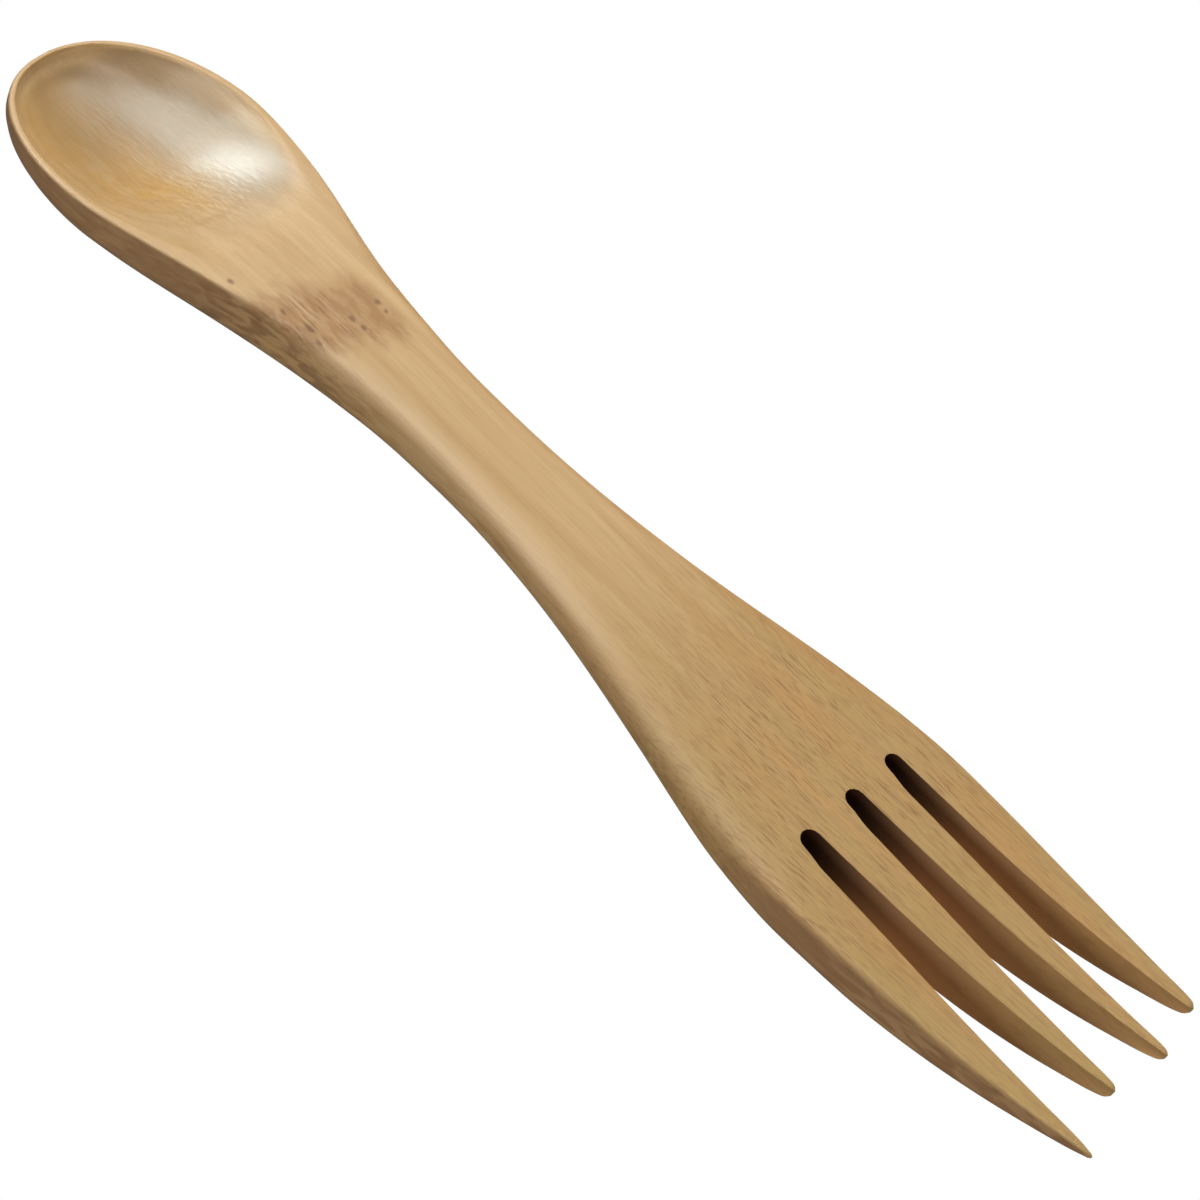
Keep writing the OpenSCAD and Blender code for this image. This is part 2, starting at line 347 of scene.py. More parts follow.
    def edge_radius(self, x, near):
        """How round the top edge is, along the strip and on the near or the far side."""
        shape = self.shape
        grip = np.where(near, shape.near_edge, shape.far_edge)
        fork = np.where(near, shape.fork_near_edge, shape.fork_edge)
        tine = np.where(near, shape.tine_near_edge, shape.fork_edge)
        bowled = mix(self.wide_x, self.neck_x, BOWL_EDGE_END)
        gripped = mix(self.grip_x, self.head_x, GRIP_EDGE_END)
        middle = mix(self.head_x, self.root_x, HEAD_EDGE_END)
        tined = mix(self.root_x, self.point[0], TINE_EDGE_START)
        value = mix(shape.bowl_edge, grip, ease(way(x, bowled, self.grip_x)))
        slim_x = mix(self.neck_x, self.grip_x, SLIM_SHARE)
        slim = ease(way(x, mix(self.wide_x, self.neck_x, SLIM_START), slim_x))
        slim = slim * ease(way(x, self.grip_x, slim_x))
        value = value + np.where(near, 0, shape.neck_round) * slim
        value = mix(value, fork, ease(way(x, gripped, middle)))
        value = mix(value, tine, ease(way(x, middle, tined)))
        return mix(value, shape.point_edge, ease(way(x, tined, self.point[0])))

    def fullness(self, x):
        """How square the underside is along the strip: 2 is an ellipse."""
        shape = self.shape
        gripped = ease(way(x, self.wide_x, self.grip_x))
        forked = ease(way(x, self.head_x, self.root_x + shape.full_reach))
        value = mix(shape.bowl_fullness, shape.grip_fullness, gripped)
        return mix(value, shape.fork_fullness, forked)

    def rim_width(self, x):
        """How wide the rim of the scoop is, from the bowl's widest place to the neck."""
        shape = self.shape
        return mix(shape.rim_width, shape.rim_end_width, ease(way(x, self.wide_x, self.neck_x)))

    def carve(self, cells):
        """The carved places of the blank's corners, and marks that the finish follows."""
        shape = self.shape
        row, column = np.rint(cells[:, :2]).astype(int).T
        layer = np.rint(-cells[:, 2]).astype(int)
        across, lane, share = self.across[column], self.lane[column], self.share[column]
        slot, near = self.slot[column], across < 0
        sign = np.sign(across)
        is_front = row < FRONT_RIM_CELLS + FRONT_CELLS
        is_tine = row > self.root_row
        outer = (row == 0) | (column == 0) | (column == self.columns)
        x = self.row_x[np.minimum(row, self.root_row)]
        for k in range(len(TINES)):
            at = is_tine & (lane == k)
            way_out = self.tine_share[row[at] - self.root_row - 1]
            x[at] = mix(self.root_x, self.point[k], way_out)

        # The angle and size of the bowl's rings, which run round its front
        long_share = self.front[row]
        side = np.where(is_front, np.maximum(long_share, np.abs(across)), np.abs(across))
        small = np.minimum(long_share, np.abs(across)) / np.maximum(side, LEAST)
        turn = np.where(long_share >= np.abs(across), small, 2 - small) * math.pi / 4

        # Where the outer wall stands at this layer
        half = self.rear_half(x)
        width = 2 * half
        for k, outer_side, inner_side in (
            (0, self.low_side[0], self.high_side[0]),
            (LAST_TINE, self.high_side[LAST_TINE], self.low_side[LAST_TINE]),
        ):
            at = is_tine & (lane == k)
            half[at] = np.abs(outer_side(x[at]))
            width[at] = half[at] - np.abs(inner_side(x[at]))
        radius = self.edge_radius(x, near)
        full = self.fullness(x)
        turned = np.minimum(layer, ARC_LAYERS) / ARC_LAYERS * math.pi / 2
        inset = radius * (1 - np.sin(turned))
        angle = np.maximum(layer - ARC_LAYERS, 0) / (LAYERS - ARC_LAYERS) * LAST_ANGLE
        tuck = half * (1 - np.cos(angle) ** (2 / full))
        last_tuck = half * (1 - np.cos(LAST_ANGLE) ** (2 / full))
        inset = np.minimum(inset, TUCK_SHARE * width * (1 - np.sin(turned)))
        reach = half - inset - tuck * np.minimum(1, TUCK_SHARE * width / last_tuck)

        # Across: rim and scoop on the top, even cells elsewhere
        rim_line = half - self.rim_width(x)
        outside = mix(rim_line, reach, (side - RIM_SHARE) / (1 - RIM_SHARE))
        rimmed = np.where(side <= RIM_SHARE, side / RIM_SHARE * rim_line, outside)
        even = mix(rimmed, side * reach, ease(way(x, self.neck_x, self.grip_x)))
        lateral = np.where(layer == 0, even, side * reach)
        ring = lateral / self.wide_half
        inwards = 1 - ring
        steep = shape.tip_rim / shape.rim_width * self.wide_half / self.front_len
        ring_len = self.front_len * (1 - steep * inwards - (1 - steep) * inwards**2)
        x = np.where(is_front, self.wide_x - ring_len * np.cos(turn), x)
        y = sign * np.where(is_front, lateral * self.front_share(turn), lateral)

        # Lanes of the tines and the slots between them
        rounding = np.minimum(layer, LAYERS - layer)
        rounding = np.minimum(rounding, ARC_LAYERS) / ARC_LAYERS * math.pi / 2
        lane_x = np.maximum(x, self.root_x)
        grow = shape.slot_edge * (1 - np.sin(rounding))
        opened = way(lane_x, self.root_x, self.root_x + shape.root_taper)
        pinch = shape.root_pinch * ease(1 - opened)
        lane_y, arc, breadth = np.zeros(len(x)), np.zeros(len(x)), np.zeros(len(x))
        for k in range(len(TINES)):
            at = (lane == k) & ~slot
            low = -reach[at] if k == 0 else self.low_side[k](lane_x[at])
            high = reach[at] if k == LAST_TINE else self.high_side[k](lane_x[at])
            breadth[at] = high - low
            narrow = np.minimum(grow[at], POINT_SHARE * breadth[at])
            low = low if k == 0 else low + narrow
            high = high if k == LAST_TINE else high - narrow + pinch[at]
            lane_y[at] = mix(low, high, share[at])
            if k < LAST_TINE:
                at = (lane == k) & slot
                low = self.high_side[k](self.root_x) - grow[at] + pinch[at]
                high = self.low_side[k + 1](self.root_x) + grow[at]
                lane_y[at] = mix(low, high, share[at])
                arc[at] = (high - low) * np.sqrt(share[at] * (1 - share[at]))
        lane_start = mix(self.head_x, self.root_x, LANE_START)
        lanes = np.where(is_front, 0, ease(way(x, lane_start, self.root_x)))
        y = np.where(outer & ~is_tine, y, mix(y, lane_y, lanes))
        x = x - arc * way(row, self.root_row - BENT_ROWS, self.root_row) ** 2

        # Heights of the top, the underside and the walls
        top, low = np.zeros(len(x)), np.zeros(len(x))
        for k in range(len(TINES)):
            at = lane == k
            top[at], low[at] = self.top[k](x[at]), np.maximum(self.low[k](x[at]), 0)
        radius = np.minimum(radius, EDGE_SHARE * (top - low))
        front_turn = np.arccos(np.clip((self.wide_x - x) / self.front_len, 0, 1))
        own_half = np.where(x < self.wide_x, self.wide_half * self.front_share(front_turn), half)
        t = np.clip(np.abs(y) / np.maximum(own_half, LEAST), 0, 1)
        tip = np.clip((self.wide_x - x) / self.front_len, 0, 1) ** TIP_ROUND_POWER
        crown = np.maximum(1 - t**full - tip, 0) ** (1 / full)
        shoulder = top - radius
        under = shoulder - (shoulder - low) * crown
        in_scoop = np.clip(np.where(is_front, lateral, np.abs(y)) / rim_line, 0, 1)
        tipwards = np.where(is_front, np.cos(turn) ** 2, 0)
        power = mix(SCOOP_POWER, SCOOP_TIP_POWER, tipwards)
        depth = np.where(x < self.scoop_end, self.depth(np.maximum(x, self.wide_x)), 0)
        depth = np.maximum(depth, 0)
        scoop = depth * (1 - in_scoop**2) ** power
        arc_z = top - radius * (1 - np.cos(turned))
        z = np.where(layer <= ARC_LAYERS, arc_z, under)
        z = np.where(layer == 0, top - scoop, z)

        # Slot walls and the ends of the tines
        edge = np.minimum(shape.slot_edge, SLOT_EDGE_SHARE * (top - under))
        drop = edge * (1 - np.cos(rounding))
        middle = mix(top - edge, under + edge, way(layer, ARC_LAYERS, LAYERS - ARC_LAYERS))
        lower = np.where(layer >= LAYERS - ARC_LAYERS, under + drop, middle)
        wall = np.where(layer <= ARC_LAYERS, top - drop, lower)
        z = np.where(~outer & (layer > 0) & (layer < LAYERS), wall, z)
        end = np.where(row == self.rows, np.sin(layer / LAYERS * math.pi), 0)
        bulge = np.minimum(shape.point_bulge, POINT_SHARE * breadth)
        x = x + bulge * end * (1 - (2 * share - 1) ** 2)
        flank = np.where(outer, ease(way(turned, *FLANK_TURNS)), 0)
        in_wall = (layer > CLEAN_LAYERS) & (layer < LAYERS - CLEAN_LAYERS)
        marks = {
            "edge_share": y / np.maximum(own_half, LEAST),
            "hollow": scoop / depth.max(),
            "slot_wall": ~outer & in_wall & (row < self.rows),
            "deep": layer / LAYERS,
            "flank": np.where(layer == LAYERS, 1, flank),
        }
        return np.stack((x, y, z), 1), marks


def deselect():
    """Leaves nothing selected and nothing active, in object mode."""
    bpy.ops.object.select_all(action="DESELECT")
    bpy.context.view_layer.objects.active = None


def select_faces(mesh, chosen):
    """Selects the faces of a mesh, in object mode, that a list of truths names."""
    mesh.vertices.foreach_set("select", np.zeros(len(mesh.vertices), bool))
    mesh.edges.foreach_set("select", np.zeros(len(mesh.edges), bool))
    mesh.polygons.foreach_set("select", np.array(chosen, bool))


def drop_faces(mesh, chosen):
    """Deletes some faces of the active mesh, and leaves the others selected in edit mode."""
    select_faces(mesh, chosen)
    bpy.ops.object.mode_set(mode="EDIT")
    bpy.ops.mesh.select_mode(type="FACE")
    bpy.ops.mesh.delete(type="FACE")
    bpy.ops.mesh.select_all(action="SELECT")


def face_outwards():
    """Turns all faces outwards and goes back to object mode."""
    bpy.ops.mesh.select_all(action="SELECT")
    bpy.ops.mesh.normals_make_consistent(inside=False)
    bpy.ops.object.mode_set(mode="OBJECT")


def blank(strip):
    """The flat blank: a grid sheet with the slots cut out, drawn down to its thickness."""
    deselect()
    rows, columns = strip.rows, strip.columns
    bpy.ops.mesh.primitive_grid_add(x_subdivisions=rows, y_subdivisions=columns, size=1)
    sheet = bpy.context.object
    sheet.scale = (rows, columns, 1)
    sheet.location = (rows / 2, columns / 2, 0)
    bpy.ops.object.transform_apply(location=True, rotation=False, scale=True)
    drop_faces(sheet.data, [strip.in_slot(*face.center[:2]) for face in sheet.data.polygons])
    for _ in range(LAYERS):
        bpy.ops.mesh.extrude_region_move(TRANSFORM_OT_translate={"value": (0, 0, -1)})
    face_outwards()
    return sheet


def skin_normals(mesh):
    """The normal at each vertex of a mesh, weighted by the areas of its faces."""
    total = np.zeros((len(mesh.vertices), 3))
    for face in mesh.polygons:
        total[list(face.vertices)] += np.array(face.normal) * face.area
    return total / np.maximum(np.linalg.norm(total, axis=1, keepdims=True), LEAST_AREA)


def carve_strip(shape):
    """Carves the whole strip from its blank and keeps it as a mesh for the pieces."""
    strip = Strip(shape)
    sheet = blank(strip)
    mesh = sheet.data
    cells = np.array([v.co for v in mesh.vertices])
    nodes = [NODES.index(strip.node_of(*face.center[:2])) for face in mesh.polygons]
    tag = mesh.attributes.new("stretch", "INT", "FACE")
    tag.data.foreach_set("value", nodes)
    places, marks = strip.carve(cells)
    mesh.vertices.foreach_set("co", places.ravel())
    for name, values in marks.items():
        mark = mesh.attributes.new(name, "FLOAT", "POINT")
        mark.data.foreach_set("value", np.array(values, np.float32))
    mesh.update()

    # The sharp inner line of the rim is sanded
    on_top = np.rint(cells[:, 2]) == 0
    row, column = np.rint(cells[:, :2]).astype(int).T
    rim = np.abs(np.abs(strip.across[column]) - RIM_SHARE) < SANDED_REACH
    front = np.abs(strip.front[row] - RIM_SHARE) < SANDED_REACH
    in_bowl = places[:, 0] < strip.neck_x
    select_faces(mesh, np.zeros(len(mesh.polygons)))
    mesh.vertices.foreach_set("select", on_top & (rim | front) & in_bowl)
    bpy.ops.object.mode_set(mode="EDIT")
    bpy.ops.mesh.select_mode(type="VERT")
    bpy.ops.mesh.vertices_smooth(factor=SANDING, repeat=SANDING_TIMES)
    bpy.ops.mesh.select_all(action="SELECT")
    bpy.ops.mesh.remove_doubles(threshold=WELD)
    face_outwards()
    mesh.name = STRIP_NAME
    mesh.use_fake_user = True
    bpy.data.objects.remove(sheet)


def piece_from_strip(node, material):
    """Cuts one stretch from the carved strip, closes it and keeps the strip's smooth skin."""
    strip = bpy.data.meshes.get(STRIP_NAME)
    if strip is None:
        raise RuntimeError("The strip has to be carved before its pieces are cut")
    normals = skin_normals(strip)
    skin = {tuple(v.co): normals[v.index] for v in strip.vertices}
    deselect()
    name = PIECE_PREFIX + node
    piece = bpy.data.objects.new(name, strip.copy())
    piece.data.name = name
    bpy.context.scene.collection.objects.link(piece)
    bpy.context.view_layer.objects.active = piece
    piece.select_set(True)
    mesh = piece.data
    tags = [item.value for item in mesh.attributes["stretch"].data]
    drop_faces(mesh, [tag != NODES.index(node) for tag in tags])
    bpy.ops.mesh.fill_holes(sides=0)
    face_outwards()
    bpy.ops.object.shade_smooth()
    smooth = []
    for face in mesh.polygons:
        is_cut = len(face.vertices) > CELL_CORNERS
        for index in face.vertices:
            smooth.append(tuple(face.normal if is_cut else skin[tuple(mesh.vertices[index].co)]))
    mesh.normals_split_custom_set(smooth)
    mesh.materials.clear()
    mesh.materials.append(material)
    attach(piece, "root")
    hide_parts(node)


class Field:
    """A socket of the bamboo's node tree, with maths written as Python expressions."""

    def __init__(self, socket):
        self.socket = socket

    def node(self, kind, settings=None, inputs=None, output=0):
        """Adds a node, sets it, feeds its sockets, and gives one of its outputs."""
        tree = self.socket.id_data
        made = tree.nodes.new(kind)
        for key, value in (settings or {}).items():
            setattr(made, key, value)
        for key, value in (inputs or {}).items():
            if isinstance(value, Field):
                tree.links.new(value.socket, made.inputs[key])
            else:
                made.inputs[key].default_value = value
        return Field(made.outputs[output])

    def out(self, name):
        """Another output of the same node."""
        return Field(self.socket.node.outputs[name])

    def math(self, operation, *values):
        """A Math node on these values."""
        return self.node("ShaderNodeMath", {"operation": operation}, dict(enumerate(values)))

    def __add__(self, other):
        return self.math("ADD", self, other)

    __radd__ = __add__

    def __sub__(self, other):
        return self.math("SUBTRACT", self, other)

    def __rsub__(self, other):
        return self.math("SUBTRACT", other, self)

    def __mul__(self, other):
        return self.math("MULTIPLY", self, other)

    __rmul__ = __mul__

    def __truediv__(self, other):
        return self.math("DIVIDE", self, other)

    def __pow__(self, other):
        return self.math("POWER", self, other)

    def within(self, low, high):
        """0 below low, 1 above high and a smooth step between; low may be the higher one."""
        settings = {"interpolation_type": "SMOOTHSTEP"}
        steps = {"Value": self, "From Min": low, "From Max": high, "To Min": 0, "To Max": 1}
        return self.node("ShaderNodeMapRange", settings, steps)

    def span(self, start, full, fade=None, end=None):
        """A soft step from start to full, in millimetres, and one back from fade to end."""
        step = self.within(start * MM, full * MM)
        return step if fade is None else step * self.within(end * MM, fade * MM)

    def band(self, middle, half, soft):
        """1 inside a band round a middle value, with soft edges."""
        return self.math("ABSOLUTE", self - middle).within(half + soft, half - soft)

    def grain(self, size, seed, detail, warp=0.0):
        """A noise on this place, drawn out to these sizes in millimetres along the axes."""
        scale = tuple(1 / (s * MM) for s in size)
        shift = tuple(seed * s for s in SEED_SHIFT)
        lay = {"Vector": self, "Scale": scale, "Location": shift}
        mapped = self.node("ShaderNodeMapping", {}, lay)
        noise = {"Vector": mapped, "Scale": 1.0, "Detail": detail, "Distortion": warp}
        return self.node("ShaderNodeTexNoise", {}, noise)

    def tint(self, first, second):
        """A mix of two colours by this factor."""
        first, second = (c if isinstance(c, Field) else (*c, 1) for c in (first, second))
        settings = {"data_type": "RGBA", "clamp_factor": True}
        return self.node("ShaderNodeMix", settings, {0: self, 6: first, 7: second}, 2)


def bamboo_material(look):
    """The oiled bamboo: fibres, dashes, the node of the cane, and the glossier bowl."""
    material = bpy.data.materials.get(FINISH_NAME)
    if material:
        return material
    material = bpy.data.materials.new(FINISH_NAME)
    material.use_nodes = True
    tree = material.node_tree
    bsdf = tree.nodes["Principled BSDF"]
    start = Field(bsdf.outputs[0])
    place = start.node("ShaderNodeTexCoord", output="Object")
    axes = place.node("ShaderNodeSeparateXYZ", {}, {"Vector": place})
    along, across = axes.out("X"), axes.out("Y")
    edge, hollow, slot_wall, deep, flank = (
        start.node("ShaderNodeAttribute", {"attribute_name": name}, output="Fac")
        for name in ("edge_share", "hollow", "slot_wall", "deep", "flank")
    )
    skin = 1 - flank

    # Broad bands, fibres and dashes, all drawn out along the strip
    bands = place.grain((70, 2.6, 2.6), 3.1, 3)
    hues = place.grain((30, 4, 4), 9.7, 2)
    fibres = place.grain((9, 0.26, 0.3), 1.7, 3)
    dashes = place.grain((2.4, 0.2, 0.4), 5.3, 1)
    cloud = place.grain((12, 8, 8), 8.2, 2)
    mottle = place.grain((2.6, 1.3, 1.3), 4.4, 3)
    flecks = place.grain((1.5, 0.45, 0.45), 7.9, 2)
    colour = (bands.within(0.3, 0.7) * 0.8).tint(look.tan, look.pale)

    def paint(share, tone):
        """Lays a share of another tone over the colour so far."""
        nonlocal colour
        colour = share.tint(colour, tone)

    forkwards = along.span(-6, 34)
    paint(forkwards * 0.85, look.fork)
    paint(hues.within(0.48, 0.68) * forkwards * 0.5, look.orange)
    paint(hues.within(0.5, 0.34) * forkwards * 0.5, look.straw)
    paint(fibres.within(0.45, 0.7) * (0.22 + forkwards * 0.28), look.fibre)
    paint(mottle.within(0.5, 0.7) * forkwards * 0.25, look.fibre)
    crowd = along.span(2, 26, 77, 84) * (0.6 + cloud.within(0.35, 0.6) * 0.4)
    tinewards = along.span(44, 58)
    paint(dashes.within(0.53, 0.66) * crowd * (0.7 - tinewards * 0.3), look.dash)

    # Amber along the far edge, near edges worn pale and partly a painted highlight on their
    # rounding, and a tan rim
    far_edge = edge.within(0.7, 0.98) * along.span(-52, -34, 26, 44)
    paint(far_edge * 0.4, look.amber)
    # The pale tint on the near rounded edges of the grip and the fork head is partly wear and
    # partly a painted highlight
    near_edge = edge.within(-0.32, -0.76) * along.span(-50, -36, -4, 26)
    paint(near_edge * skin * (0.06 + fibres.within(0.4, 0.6) * 0.16), look.worn_and_sheen)
    head_edge_wear_and_sheen = edge.within(-0.62, -0.88) * along.span(8, 24, 36, 48)
    paint(head_edge_wear_and_sheen * skin * 0.08, look.worn_and_sheen)
    rim = hollow.within(0.05, 0.0) * along.span(-48, -57)
    paint(rim * skin * 0.7, look.tan)

    # Honey patches, growth lines and flecks in the bowl, painted shade on its far side and at its
    # tip, and a painted lighter tint high on the tip wall
    patch = 0.25 + cloud.within(0.4, 0.62) * 0.4 + mottle.within(0.4, 0.62) * 0.35
    paint(hollow.within(0.1, 0.7) * patch * 0.95, look.honey)
    growth = start.math("SINE", hollow * 30 + cloud * 8 + mottle * 2)
    paint(growth.within(0.2, 0.95) * hollow.within(0.05, 0.25) * 0.28, look.ring)
    # Painted shade on the bowl's far wall and at its tip; high on the tip wall the shade gives way
    # to a painted lighter tint
    far_side = edge.within(-0.1, 0.5) * (0.9 - edge.within(0.72, 0.92) * 0.75)
    far_wall = far_side * along.span(-50, -58)
    tip_side = along.span(-62, -76) * edge.within(-0.9, -0.2) * 0.66
    tip_wall = along.span(-79.5, -84) * hollow.within(0.55, 0.3)
    shade = (1 - (1 - far_wall) * (1 - tip_side)) * (1 - tip_wall * 0.85)
    paint(hollow.within(0, 0.12) * shade, look.bowl_shade)
    paint(hollow.within(0, 0.12) * tip_wall * 0.6, look.pale)
    paint(hollow.within(0.03, 0.4) * flecks.within(0.42, 0.66) * 0.3, look.fibre)

    # Browner sides with long streaks: partly the bamboo's own colour and partly painted shade,
    # darker low down
    streaks = place.grain((18, 0.6, 0.6), 6.1, 3)
    blotches = place.grain((5, 1.1, 1.1), 3.3, 3, 0.6)
    handle = along.span(-50, -38, 30, 44)
    # The browning is partly painted shade; on the handle it grows towards the underside
    browned_and_shaded = 0.85 - handle * (0.65 - deep.within(0.5, 0.8) * 0.5)
    paint(flank * browned_and_shaded, look.flank)
    paint(flank * mottle.within(0.45, 0.65) * along.span(46, 36) * 0.3, look.tan)
    paint(flank * blotches.within(0.5, 0.66) * 0.3, look.dash)
    paint(flank * streaks.within(0.46, 0.66) * 0.4, look.dash)
    # A painted dark band of shade low on the sides, near the underside
    paint(flank * deep.band(0.84, 0.08, 0.1) * 0.45, look.blotch_and_shade)

    # The node of the cane, aslant across the neck and down its near side
    wave = place.grain((5, 2.2, 2.2), 2.4, 3, 0.8)
    slant = along - across * NODE_SLANT + (wave - 0.5) * NODE_WAVER
    node_band = slant.band(*NODE_BAND) * across.span(5.5, 2.5) * skin
    paint(node_band * (0.62 + mottle.within(0.4, 0.6) * 0.5), look.node)
    nearwards = across.span(1, -4)
    scratches = fibres.within(0.54, 0.66) * node_band * nearwards
    paint(scratches * 0.3, look.worn_and_sheen)
    threads = place.grain((2.6, 0.32, 0.4), 2.9, 2).within(0.54, 0.66) * node_band
    paint(threads * (0.15 + nearwards * 0.28), look.blotch_and_shade)
    knot = (along + (wave - 0.5) * KNOT_WAVER).band(*KNOT_BAND)
    near_side = knot * across.span(0, -3) * flank
    spotted = near_side + flank * tinewards * 0.6
    paint(spotted * blotches.within(0.52, 0.42) * 0.5, look.tan)
    paint(spotted * blotches.within(0.46, 0.58) * 0.38, look.blotch_and_shade)
    for speck_x, speck_y, size, stretch in NODE_SPECKS:
        dx, dy = (along - speck_x * MM) / stretch, across - speck_y * MM
        reach = (dx * dx + dy * dy) ** 0.5 + (flecks - 0.5) * (0.5 * MM)
        speck = reach.within(size * MM, size * MM * 0.2) * skin
        paint(speck * 0.75, look.speck)

    # Painted shade on the slot walls, lighter towards the points, with painted light low in the
    # slots and a painted black shadow at the roots
    past_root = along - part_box("fork_head")[1].x
    edge_deep = ARC_LAYERS / LAYERS
    painted_slot_shade = deep.within(edge_deep, 1 - edge_deep).tint(look.slot_wall_shade, look.slot_low_light)
    painted_slot_shade = past_root.span(14, -2).tint(painted_slot_shade, look.char)
    fade = 1 - past_root.span(12, 30) * 0.55
    paint(slot_wall * fade, painted_slot_shade)

    # Gloss, thickest in the bowl, and the relief of the fibres
    matt = along.span(-14, 22) * 0.2 + (fibres - 0.5) * 0.2 + slot_wall * 0.5
    far_tip = edge.within(0.55, 0.72) * along.span(-70, -76)
    rough = look.roughness + matt + hollow.within(0, 0.24) * (far_tip * 0.3 - 0.1)
    near_floor = hollow.within(0.72, 0.92) * edge.within(0.32, 0.1)
    thinner = (1 - hollow.within(0.4, 0.85) * 0.25) * (1 - near_floor * 0.4)
    coat = hollow.within(0, 0.18) * (1 - far_tip) * thinner * 0.85
    bsdf.inputs["Coat Roughness"].default_value = look.coat_roughness
    bsdf.inputs["Specular IOR Level"].default_value = SPECULAR_LEVEL
    ripple = place.grain((2.4, 0.7, 0.7), 6.6, 2)
    rippled = ripple * (0.2 + hollow.within(0, 0.5) * 1.5)
    relief = fibres * 0.4 + rippled - dashes.within(0.58, 0.7) * 0.2
    raised = {"Strength": BUMP_STRENGTH, "Distance": BUMP_HEIGHT, "Height": relief}
    bump = start.node("ShaderNodeBump", {}, raised)
    fed = {"Base Color": colour, "Roughness": rough, "Coat Weight": coat, "Normal": bump}
    for name, value in fed.items():
        tree.links.new(value.socket, bsdf.inputs[name])

    # The slot walls, which carry painted shade, have no sheen
    plain = {"Base Color": colour, "Roughness": 1.0, "Specular IOR Level": 0.0, "Normal": bump}
    dry = start.node("ShaderNodeBsdfPrincipled", {}, plain)
    surface = start.node("ShaderNodeMixShader", {}, {0: slot_wall * 0.9, 1: start, 2: dry})
    tree.links.new(surface.socket, tree.nodes["Material Output"].inputs["Surface"])
    return material


def number_property(name, description, default, **kind):
    """A number that the user may change."""
    return bpy.props.FloatProperty(name=name, description=description, default=default, **kind)


share_property = partial(number_property, subtype="FACTOR", min=0, max=1)
power_property = partial(number_property, unit="POWER")


def length_property(name, description, millimetres):
    """A length that the user may change."""
    return number_property(name, description, millimetres * MM, unit="LENGTH")


def angle_property(name, description, degrees):
    """An angle that the user may change."""
    return number_property(name, description, math.radians(degrees), subtype="ANGLE")


def colour_property(name, description, default):
    """A colour that the user may change."""
    return bpy.props.FloatVectorProperty(
        name=name, description=description, default=default, size=3, subtype="COLOR", min=0, max=1
    )


class SporkShape(bpy.types.PropertyGroup):
    """Sizes of the carving that the solids leave open."""

    rim_width: length_property("Rim", "Width of the bowl's rim", 0.95)
    tip_rim: length_property("Rim at the tip", "Width of the rim at the bowl's tip", 0.56)
    rim_end_width: length_property("Rim at the neck", "Width of the rim where the scoop ends", 2.6)
    bowl_edge: length_property("Bowl edge", "Radius of the bowl's outer top edge", 0.4)
    near_edge: length_property("Near grip edge", "Radius of the grip's near top edge", 2.6)
    far_edge: length_property("Far grip edge", "Radius of the grip's far top edge", 1.2)
    neck_round: length_property(
        "Neck rounding", "How much rounder the neck's far top edge is", 1.0
    )
    fork_near_edge: length_property(
        "Near fork edge", "Radius of the fork head's near top edge", 2.9
    )
    tine_near_edge: length_property(
        "Near tine edge", "Radius of the near tine's outer top edge", 0.9
    )
    fork_edge: length_property("Far fork edge", "Radius of the fork's far top edge", 0.4)
    point_edge: length_property("Point edge", "Radius of the edges at the points", 0.35)
    slot_edge: length_property("Slot edge", "Radius of the slots' edges", 0.14)
    root_pinch: length_property(
        "Root pinch", "How far the near wall of a slot closes in at its root", 0.45
    )
    root_taper: length_property(
        "Root taper", "Length over which a slot opens to its full width", 3.4
    )
    point_bulge: length_property("Point bulge", "How far the end of a tine is rounded out", 0.2)
    bowl_fullness: number_property("Bowl fullness", "How square the bowl's underside is", 3.65)
    grip_fullness: number_property("Grip fullness", "How square the grip's underside is", 4.0)
    full_reach: length_property(
        "Full reach", "How far beyond the slot roots the underside gets to its full squareness", 6
    )
    fork_fullness: number_property("Fork fullness", "How square the fork's underside is", 7.5)


